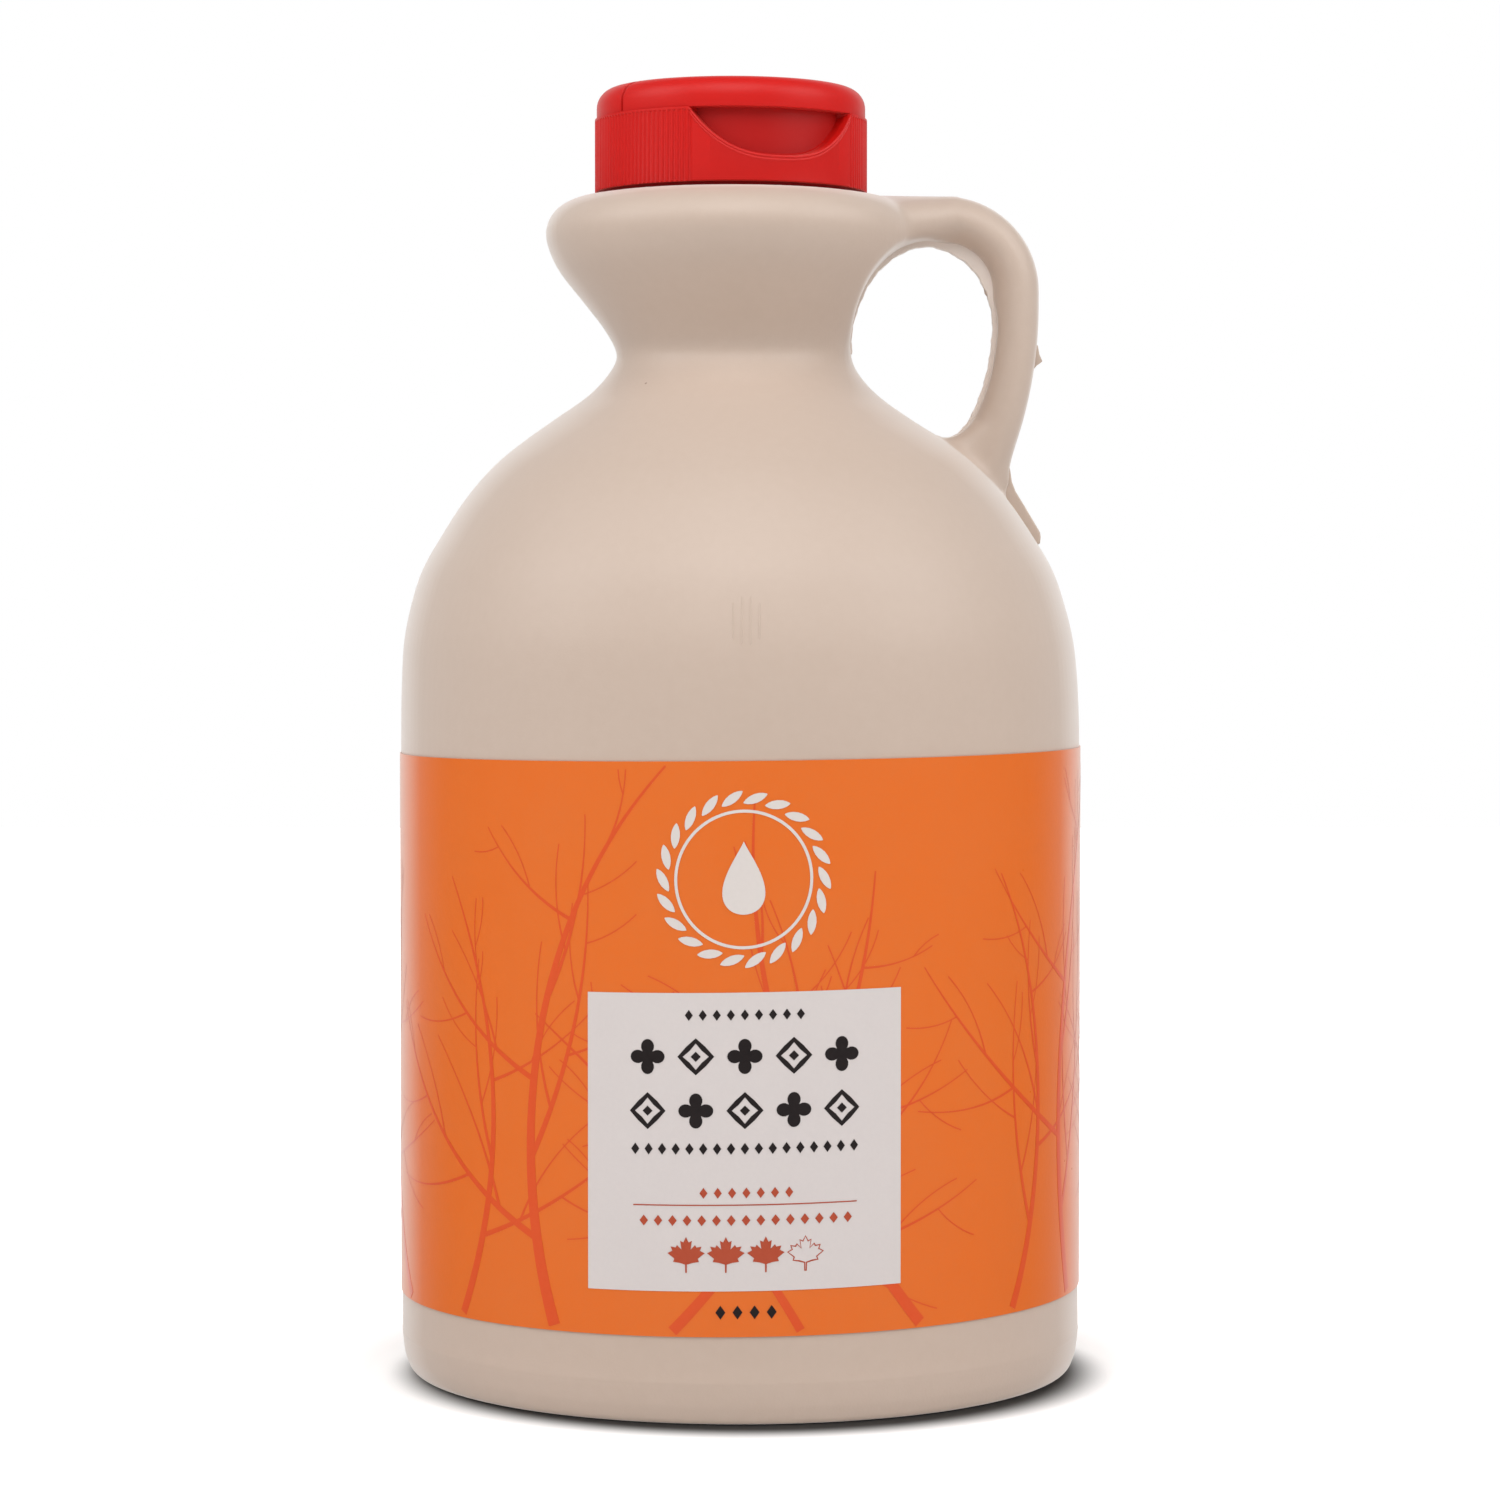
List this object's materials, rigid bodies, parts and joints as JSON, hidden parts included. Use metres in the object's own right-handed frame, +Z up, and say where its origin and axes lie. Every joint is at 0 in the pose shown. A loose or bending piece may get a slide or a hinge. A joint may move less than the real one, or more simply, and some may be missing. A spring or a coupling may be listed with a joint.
{
  "type": "syrup jug",
  "caption": "Round plastic syrup jug, shut, with a small finger-loop handle at the neck, a red flip-top cap and a wrapped orange label",
  "frame": {"origin": "centre of the base ring, on the plane the jug rests on", "axes": "+Z up along the jug, front face of the label towards -Y, handle towards +X"},
  "size_m": [0.1, 0.1, 0.188],
  "materials": {
    "jug_plastic": "smooth, softly glossy beige polyethylene",
    "cap_plastic": "glossy red polypropylene",
    "label_paper": "coated orange wrap label"
  },
  "bodies": {
    "root": {"jug": "jug_plastic", "cap_base": "cap_plastic", "cap_flap": "cap_plastic", "label": "label_paper"}
  },
  "joints": []
}
